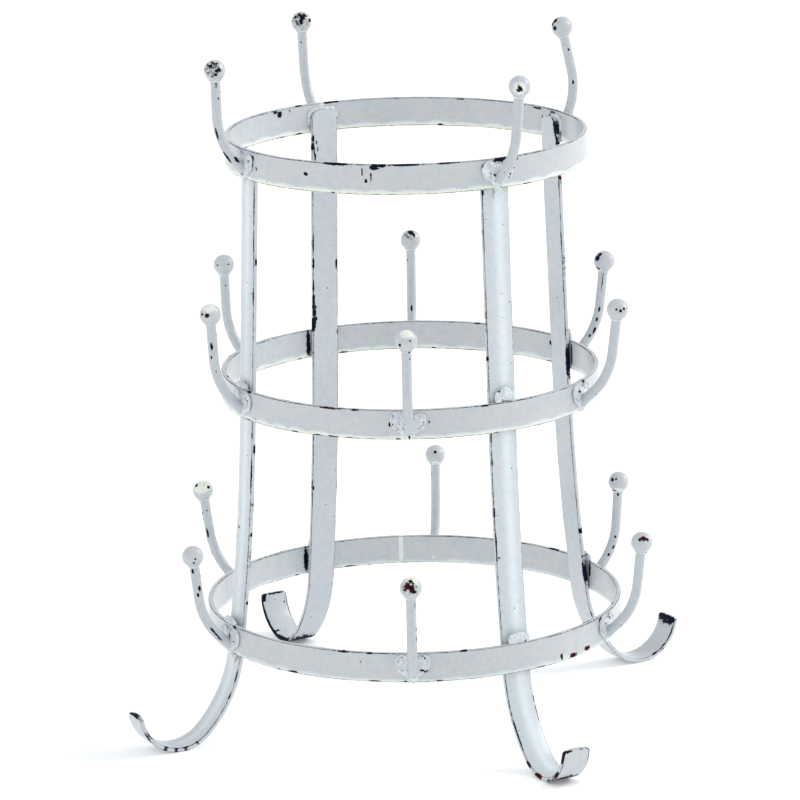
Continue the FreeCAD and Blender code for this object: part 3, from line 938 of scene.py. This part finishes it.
# Knocks in each rod: distance up it in millimetres, angle round it in degrees,
# and half length and half width in millimetres. At 90 it faces the middle.
ROD_KNOCKS = {
    "top_000": [(40, 150, 1.6, 0.7), (62, 170, 1.0, 0.6)],
    "top_180": [
        (38, -60, 4, 0.9), (22, -70, 5, 1.2), (17, 10, 3, 1.0), (60, 0, 0.9, 0.6),
        (69, -20, 3, 0.6),
    ],
    "top_270": [(24, 60, 3, 0.8), (48, -30, 0.9, 0.7)],
    "middle_000": [
        (45, 150, 2, 0.7), (38, 150, 1.6, 0.9), (31, 170, 3, 0.9), (26, 150, 1.4, 0.7),
        (64, 150, 6, 0.4),
    ],
    "middle_060": [(30, 90, 3, 0.8)],
    "middle_180": [(57, -40, 2.6, 1.0), (50, -50, 1.4, 0.7), (41, -20, 0.8, 0.5)],
    "middle_240": [(66, -50, 0.9, 0.6)],
    "bottom_000": [
        (40, 160, 1.0, 0.8), (33, 175, 1.6, 0.9), (70, 150, 2.5, 0.8), (27, 160, 1.2, 0.9),
    ],
    "bottom_120": [(48, 0, 4, 0.9), (35, -40, 2, 0.7), (62, -30, 1.2, 0.6)],
    "bottom_180": [
        (68, -50, 1.8, 0.9), (56, 0, 2, 1.1), (52, -30, 1.6, 0.9), (24, -20, 5, 0.7),
        (18, -30, 3, 0.6),
    ],
    "bottom_240": [
        (50, -25, 1.4, 0.8), (44, -25, 2.4, 0.7), (37, -20, 1.6, 0.5), (66, -40, 2, 0.5),
    ],
    "bottom_306": [(33, 60, 2, 0.6), (58, -20, 0.8, 0.6)],
}

# Each rod gets a few more on the side that the scattered knocks are on.
ROD_SCATTER = 3
ROD_SCATTER_RUN = (20, 72)
ROD_SCATTER_TURN = 30
ROD_SCATTER_LENGTHS = (0.8, 3)
ROD_SCATTER_WIDTHS = (0.5, 1)

ROD_RUNS = [
    (FOOT_BURIED + FOOT_LENGTH, 0),
    (BEND_RADIUS * math.radians(FOOT_ANGLE - TOP_ANGLE), BEND_RADIUS),
    (TOP_LENGTH, 0),
]
ROD_LENGTH = sum(length for length, radius in ROD_RUNS)


def peg_name(tier, direction):
    """How a peg is named in the CAD model."""
    return "%s_%03d" % (tier, direction)


def peg_seed(tier, direction):
    """A number that makes a peg's unevenness differ from its neighbours'."""
    return direction + TIER_SEED * len(tier)


def peg_start(tier, lean_out):
    """The buried end of a rod, as distance out and height, and its heading there."""
    radius, _, upper = hoop_size(tier)
    heading = math.radians(FOOT_ANGLE - lean_out)
    out = radius - FOOT_BURIED * math.cos(heading)
    return (out, upper - FOOT_DROP - FOOT_BURIED * math.sin(heading)), heading


def scatter_on_rod(direction):
    """A few small knocks on the scattered side of a rod."""
    apart = math.radians(SCATTER_SIDE - direction)
    facing = math.degrees(math.atan2(-math.cos(apart), math.sin(apart)))
    spread = []
    for _ in range(ROD_SCATTER):
        reach = scatter_chance.uniform(*ROD_SCATTER_RUN)
        angle = facing + scatter_chance.uniform(-ROD_SCATTER_TURN, ROD_SCATTER_TURN)
        length = scatter_chance.uniform(*ROD_SCATTER_LENGTHS)
        spread.append((reach, angle, length, scatter_chance.uniform(*ROD_SCATTER_WIDTHS)))
    return spread


rod_finish = finish("rod_finish", (0.505, 0.53, 0.54, 1), (0.76, 0.80, 0.81, 1), 0.0, 0.5)

for tier, leans in PEG_LEANS.items():
    for direction, lean_out in leans.items():
        name = peg_name(tier, direction)
        rod = bmesh.new()
        bmesh.ops.create_circle(rod, cap_ends=True, segments=ROD_SIDES, radius=ROD_RADIUS,
                                matrix=Matrix.Rotation(math.radians(90), 4, "Y"))
        draw_out(rod, ROD_LENGTH, ROD_STEP)
        knocks = ROD_KNOCKS.get(name, []) + scatter_on_rod(direction)
        marks = rod.verts.layers.float_vector.new("marks")
        for vertex in rod.verts:
            worn = 0.0
            facing = math.atan2(vertex.co.z, vertex.co.y)
            for reach, angle, length, width in knocks:
                apart = math.remainder(facing - math.radians(angle), 2 * math.pi) * ROD_RADIUS
                along = vertex.co.x - reach / 1000
                distance = math.hypot(along * 1000 / length, apart * 1000 / width)
                worn = max(worn, min(1.0, KNOCK_REACH - distance))
            vertex.co.yz *= 1 + ROD_WAVER * waver(vertex.co, ROD_PITCH, peg_seed(tier, direction))
            vertex[marks] = (worn, 0, 0)
        start, heading = peg_start(tier, lean_out)

        def up_rod(point):
            """Bends the straight rod into a peg on the +X side."""
            out, height, slope = walk(start, heading, ROD_RUNS, point.x)
            return Vector((out - point.z * math.sin(slope), point.y, height + point.z * math.cos(slope)))

        bend(rod, up_rod)
        inside = (hoop_size(tier)[0] - FOOT_INSIDE, 0, 0)
        cut = bmesh.ops.bisect_plane(rod, geom=rod.verts[:] + rod.edges[:] + rod.faces[:],
                                     plane_co=inside, plane_no=(1, 0, 0), clear_inner=True)["geom_cut"]
        bmesh.ops.holes_fill(rod, edges=[item for item in cut if isinstance(item, bmesh.types.BMEdge)])
        bmesh.ops.rotate(rod, verts=rod.verts[:], cent=(0, 0, 0),
                         matrix=Matrix.Rotation(math.radians(direction), 3, "Z"))
        keep("peg_" + name + "_rod", rod, rod_finish, ["peg_" + name])

# ---------------------------------------------------------------- Balls
# A turned iron ball on the end of each peg keeps a mug's handle on. The paint
# has been knocked off where mugs hit them, down to dark or rusty metal.
BALL_RADIUS = 0.00675
BALL_DETAIL = 5
BALL_KNOCK_REACH = 1.5
BALL_PATTERN_STEP = 0.1

# A ball's unevenness: depth as a share of its radius, and pitch.
BALL_WAVERS = [(0.012, 0.005), (0.006, 0.002)]

# Knocks in each ball: direction and height of its middle as seen from the ball's
# centre and how far it spreads, in degrees, then its depth and how red it is.
# A depth under a half only rubs the paint thin.
BALL_KNOCKS = {
    "top_000": [
        (180, 44, 14, 1.0, 0.0), (194, 0, 13, 1.0, 0.0), (170, 20, 10, 1.0, 0.0),
        (90, 30, 20, 1.0, 0.0),
    ],
    "top_090": [
        (250, 34, 16, 1.0, 0.1), (228, 52, 12, 1.0, 0.0), (196, 33, 11, 1.0, 0.0),
        (298, 12, 12, 1.0, 0.0), (240, 2, 9, 1.0, 0.0), (268, 44, 12, 1.0, 0.0),
        (238, 20, 60, 0.45, 0.0),
    ],
    "top_180": [
        (225, 22, 58, 0.52, 0.0), (248, -12, 9, 1.0, 0.0), (272, 8, 8, 1.0, 0.0),
        (268, 18, 6, 1.0, 0.0), (215, 35, 14, 0.7, 0.0),
    ],
    "top_270": [
        (240, 4, 9, 1.0, 0.2), (248, -4, 9, 1.0, 0.3), (240, -6, 30, 0.45, 0.0),
        (60, 30, 26, 1.0, 0.3),
    ],
    "middle_000": [(191, 25, 17, 1.0, 0.0), (184, -40, 14, 1.0, 0.0), (200, 50, 12, 1.0, 0.0)],
    "middle_060": [(241, 62, 17, 1.0, 0.0), (262, 48, 11, 1.0, 0.0), (241, 50, 45, 0.45, 0.0)],
    "middle_120": [(205, 8, 6, 1.0, 0.0), (270, 12, 5, 1.0, 0.0)],
    "middle_180": [(224, 8, 12, 1.0, 1.0), (195, 12, 7, 1.0, 0.0)],
    "middle_240": [(205, -10, 9, 1.0, 0.0), (262, 12, 7, 0.8, 0.0)],
    "middle_303": [(255, 5, 10, 0.8, 0.0), (275, 12, 8, 0.9, 0.0), (232, 12, 6, 1.0, 0.0)],
    "bottom_000": [(197, 23, 11, 1.0, 0.0), (193, -55, 16, 1.0, 0.0), (222, 30, 6, 1.0, 0.0)],
    "bottom_055": [(240, 30, 9, 1.0, 0.4), (60, 10, 22, 1.0, 0.2)],
    "bottom_120": [(285, 30, 10, 1.0, 0.0), (190, 40, 10, 1.0, 0.0), (270, 55, 18, 0.5, 0.0)],
    "bottom_180": [(258, 0, 6, 1.0, 0.0), (250, -22, 6, 1.0, 0.0)],
    "bottom_240": [
        (222, 26, 20, 1.0, 0.8), (246, 10, 16, 1.0, 0.8), (236, 56, 10, 1.0, 0.3),
        (262, -5, 9, 1.0, 0.4), (232, 20, 60, 0.5, 0.0),
    ],
    "bottom_306": [(250, 36, 15, 1.0, 0.7), (275, 28, 9, 1.0, 0.5), (225, 30, 9, 1.0, 0.3)],
}

# Each ball gets a few more on the side that the scattered knocks are on.
BALL_SCATTER = 3
BALL_SCATTER_TURN = 70
BALL_SCATTER_HEIGHTS = (-20, 60)
BALL_SCATTER_SIZES = (6, 14)
BALL_SCATTER_REDNESS = [0.0, 0.0, 0.8]

# Where the paint pooled and yellowed: direction, height and spread in degrees. It fades
# out between two shares of that spread.
BALL_POOLED = 1.55
POOL_FADE = (0.4, 1.2)
BALL_CREAM = {
    "top_270": (240, -2, 40), "middle_240": (241, 62, 38), "bottom_000": (236, -50, 30),
    "bottom_055": (240, -50, 26), "bottom_120": (230, 50, 60), "bottom_240": (250, 70, 40),
    "middle_180": (230, 60, 40),
}


def aim(azimuth, height):
    """The unit vector of a direction and height in degrees."""
    tilt = math.radians(height)
    return Matrix.Rotation(math.radians(azimuth), 3, "Z") @ Vector((math.cos(tilt), 0, math.sin(tilt)))


def scatter_on_ball():
    """A few small knocks on the scattered side of a ball."""
    spread = []
    for _ in range(BALL_SCATTER):
        azimuth = SCATTER_SIDE + scatter_chance.uniform(-BALL_SCATTER_TURN, BALL_SCATTER_TURN)
        height = scatter_chance.uniform(*BALL_SCATTER_HEIGHTS)
        size = scatter_chance.uniform(*BALL_SCATTER_SIZES)
        spread.append((azimuth, height, size, 1.0, scatter_chance.choice(BALL_SCATTER_REDNESS)))
    return spread


ball_finish = finish("ball_finish", (0.53, 0.545, 0.55, 1), (0.76, 0.79, 0.78, 1), 0.0, 0.4)

for tier, leans in PEG_LEANS.items():
    for direction in leans:
        name = peg_name(tier, direction)
        seed = peg_seed(tier, direction)
        low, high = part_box("ball_" + name)
        centre = Vector(((low.x + high.x) / 2, (low.y + high.y) / 2, high.z - BALL_RADIUS))
        knocks = [(aim(azimuth, height), size, depth, redness)
                  for azimuth, height, size, depth, redness in BALL_KNOCKS[name] + scatter_on_ball()]
        ball = bmesh.new()
        bmesh.ops.create_icosphere(ball, subdivisions=BALL_DETAIL, radius=BALL_RADIUS)
        marks = ball.verts.layers.float_vector.new("marks")
        bar = ball.verts.layers.float_vector.new("bar")
        for vertex in ball.verts:
            vertex.co *= 1 + sum(depth * waver(vertex.co, pitch, seed) for depth, pitch in BALL_WAVERS)
            worn = 0.0
            red = 0.0
            for facing, size, depth, redness in knocks:
                away = math.degrees(facing.angle(vertex.co)) / size
                strength = depth * min(1.0, max(0.0, BALL_KNOCK_REACH - away))
                if strength > worn:
                    worn = strength
                    red = redness
            pooled = 0.0
            if name in BALL_CREAM:
                azimuth, height, size = BALL_CREAM[name]
                away = math.degrees(aim(azimuth, height).angle(vertex.co)) / size
                pooled = BALL_POOLED * (1 - smooth_step(*POOL_FADE, away))
            vertex[marks] = (worn, red, pooled)
            vertex[bar] = vertex.co + Vector((seed * BALL_PATTERN_STEP, 0, 0))
            vertex.co += centre
        keep("ball_" + name + "_turned", ball, ball_finish, ["ball_" + name])

# ---------------------------------------------------------------- Peg and ball welds
# The foot of each peg lies in a heart-shaped puddle of weld with raised rims,
# one ear on each side of the rod. A thin bead closes the joint under each ball.
EAR_SIDE = 0.0069
EAR_DROP = 0.0068
EAR_WIDTH = 0.0036
EAR_HEIGHT = 0.0050
EAR_SKIN = 0.0010
EAR_SIZES = (0.92, 1.08)
EAR_DROPS = (0.95, 1.10)

# The rim goes round most of an ear: its start and its turn in degrees, and how its
# thickness comes and goes on the way.
RIM_RADIUS = 0.0008
RIM_LUMPS = 30
RIM_START = -70
RIM_TURN = 250
RIM_SWELL = 0.35
RIM_WAVES = 3
RIM_PHASE = 6

# Below the ears the puddle narrows to a point. Its two edges start this far beside the
# rod and below the hoop's upper edge, and they close in and run down by these amounts.
SKIRT_LUMPS = 10
SKIRT_RADIUS = 0.0010
SKIRT_SIDE = 0.0088
SKIRT_NARROWING = 0.0080
SKIRT_DROP = 0.0105
SKIRT_HEIGHT = 0.0068

# The middle of each puddle: distance below the hoop's upper edge, and its
# reach outwards, sideways and upwards. The lowest ones bury the rod's heel.
FILLINGS = [
    (0.0085, 0.0020, 0.0060, 0.0052),
    (0.0125, 0.0024, 0.0062, 0.0040),
    (0.0155, 0.0034, 0.0040, 0.0030),
    (0.0172, 0.0030, 0.0024, 0.0022),
]

# On these pegs the weld ran on below the hoop, down the leg behind it, in a wavy tail
# that gets thinner.
TAILS = {"top": 270, "bottom": 180}
TAIL_LUMPS = 7
TAIL_RADIUS = 0.0030
TAIL_TAPER = 0.65
TAIL_INSET = 0.0016
TAIL_WAVE = 0.0008
TAIL_WAVES = 5
TAIL_START = 0.0006
TAIL_LENGTH = 0.0060
TAIL_DEPTH = 0.6
TAIL_HEIGHT = 0.0018

for tier, leans in PEG_LEANS.items():
    radius, lower, upper = hoop_size(tier)
    lumps = []
    for direction in leans:
        for side in (-1, 1):
            swell = weld_chance.uniform(*EAR_SIZES)
            drop = EAR_DROP * weld_chance.uniform(*EAR_DROPS)
            ear = Vector((radius, side * EAR_SIDE, upper - drop))
            wide = EAR_WIDTH * swell
            tall = EAR_HEIGHT * swell
            lumps.append((direction, ear, (EAR_SKIN, wide, tall)))
            for step in range(RIM_LUMPS):
                turn = math.radians(RIM_START + RIM_TURN * step / (RIM_LUMPS - 1))
                proud = EAR_SKIN - RIM_RADIUS / 2
                rim = Vector((proud, side * wide * math.cos(turn), tall * math.sin(turn)))
                size = RIM_RADIUS * (1 + RIM_SWELL * math.sin(RIM_WAVES * turn + RIM_PHASE * swell))
                lumps.append((direction, ear + rim, (size, size, size)))
            for step in range(SKIRT_LUMPS):
                share = step / (SKIRT_LUMPS - 1)
                beside = side * (SKIRT_SIDE - SKIRT_NARROWING * share)
                level = upper - SKIRT_DROP - SKIRT_HEIGHT * share
                skirt = Vector((radius + EAR_SKIN / 2, beside, level))
                lumps.append((direction, skirt, (SKIRT_RADIUS, SKIRT_RADIUS, SKIRT_RADIUS)))
        for drop, proud, width, height in FILLINGS:
            place = Vector((radius, weld_chance.uniform(-LUMP_SHIFT, LUMP_SHIFT), upper - drop))
            lumps.append((direction, place, (proud, width, height)))
        if TAILS.get(tier) == direction:
            for step in range(TAIL_LUMPS):
                share = step / (TAIL_LUMPS - 1)
                size = TAIL_RADIUS * (1 - TAIL_TAPER * share)
                place = Vector((radius - TAIL_INSET, TAIL_WAVE * math.sin(TAIL_WAVES * share),
                                lower + TAIL_START - TAIL_LENGTH * share))
                lumps.append((direction, place, (TAIL_DEPTH * size, size, TAIL_HEIGHT)))
    melt("peg_puddles_" + tier, lumps, weld_finish, ["peg_welds_" + tier])

# The bead under each ball is a ring round the rod, a short way down from its seated end.
COLLAR_RADIUS = 0.0009
COLLAR_FROM_END = 0.00275
COLLAR_SIDES = 10
COLLAR_STEPS = 28
DOUBLES = 0.00001

for tier, leans in PEG_LEANS.items():
    collars = bmesh.new()
    for direction, lean_out in leans.items():
        start, heading = peg_start(tier, lean_out)
        out, height, slope = walk(start, heading, ROD_RUNS, ROD_LENGTH - COLLAR_FROM_END)
        collar = bmesh.new()
        beside = Matrix.Translation((ROD_RADIUS, 0, 0)) @ Matrix.Rotation(math.pi / 2, 4, "X")
        bmesh.ops.create_circle(collar, segments=COLLAR_SIDES, radius=COLLAR_RADIUS, matrix=beside)
        bmesh.ops.spin(collar, geom=collar.verts[:] + collar.edges[:], cent=(0, 0, 0), axis=(0, 0, 1),
                       dvec=(0, 0, 0), angle=2 * math.pi, steps=COLLAR_STEPS, use_merge=True,
                       use_normal_flip=False, use_duplicate=False)
        stood = Matrix.Translation((out, 0, height)) @ Matrix.Rotation(math.pi / 2 - slope, 4, "Y")
        turned = Matrix.Rotation(math.radians(direction), 4, "Z")
        bmesh.ops.transform(collar, verts=collar.verts[:], matrix=turned @ stood)
        gather(collars, collar)
    bmesh.ops.remove_doubles(collars, verts=collars.verts[:], dist=DOUBLES)
    bmesh.ops.recalc_face_normals(collars, faces=collars.faces[:])
    keep("ball_collars_" + tier, collars, weld_finish, ["ball_welds_" + tier])

# ---------------------------------------------------------------- Floor, light and camera
# A white studio floor under soft, even light. A long lens looks at the tree from
# a little above, between its left and front legs and nearer the front one.
FLOOR_REACH = 20
FLOOR_CELLS = 8
FLOOR_WHITE = (0.95, 0.95, 0.95, 1)
FLOOR_ROUGHNESS = 0.9
FLOOR_GLOW = 0.15
SKY_COLOUR = (0.96, 0.98, 1.0, 1)
SKY_STRENGTH = 0.85

# Lamps: direction and height in degrees, strength, and how far the light is spread.
SUNS = {"key": (74, 30, 1.6, 30), "fill": (-80, 30, 0.35, 60)}

CAMERA_TURN = -29.06
CAMERA_ELEVATION = 14.23
CAMERA_ROLL = -1.15
CAMERA_DISTANCE = 2.852
CAMERA_AIM = Vector((-0.0060, 0.0033, 0.2048))
CAMERA_LENS = 200.4
SENSOR_WIDTH = 36

floor_cells = bmesh.new()
bmesh.ops.create_grid(floor_cells, x_segments=FLOOR_CELLS, y_segments=FLOOR_CELLS, size=FLOOR_REACH)
floor_mesh = bpy.data.meshes.new("floor")
floor_cells.to_mesh(floor_mesh)
floor_cells.free()
floor = bpy.data.objects.new("floor", floor_mesh)
bpy.context.scene.collection.objects.link(floor)
floor_paint = bpy.data.materials.new("floor_white")
floor_paint.use_nodes = True
floor_shader = floor_paint.node_tree.nodes["Principled BSDF"]
floor_shader.inputs["Base Color"].default_value = FLOOR_WHITE
floor_shader.inputs["Roughness"].default_value = FLOOR_ROUGHNESS
floor_shader.inputs["Specular IOR Level"].default_value = 0.0
floor_shader.inputs["Emission Color"].default_value = (1, 1, 1, 1)
floor_shader.inputs["Emission Strength"].default_value = FLOOR_GLOW
floor_mesh.materials.append(floor_paint)
floor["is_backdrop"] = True

world = bpy.data.worlds.new("studio")
world.use_nodes = True
sky = world.node_tree.nodes["Background"]
sky.inputs["Color"].default_value = SKY_COLOUR
sky.inputs["Strength"].default_value = SKY_STRENGTH
bpy.context.scene.world = world

for name, (azimuth, elevation, strength, spread) in SUNS.items():
    lamp = bpy.data.lights.new(name, "SUN")
    lamp.energy = strength
    lamp.angle = math.radians(spread)
    light = bpy.data.objects.new(name, lamp)
    bpy.context.scene.collection.objects.link(light)
    light.rotation_euler = (math.radians(90 - elevation), 0, math.radians(azimuth))

lens = bpy.data.cameras.new("camera")
lens.lens = CAMERA_LENS
lens.sensor_width = SENSOR_WIDTH
camera = bpy.data.objects.new("camera", lens)
bpy.context.scene.collection.objects.link(camera)
turn = Matrix.Rotation(math.radians(CAMERA_TURN), 4, "Z")
tip = Matrix.Rotation(math.radians(90 - CAMERA_ELEVATION), 4, "X")
roll = Matrix.Rotation(math.radians(CAMERA_ROLL), 4, "Z")
back = Matrix.Translation((0, 0, CAMERA_DISTANCE))
camera.matrix_world = Matrix.Translation(CAMERA_AIM) @ turn @ tip @ back @ roll
bpy.context.scene.camera = camera
bpy.context.scene.view_settings.view_transform = "Standard"

low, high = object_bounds()
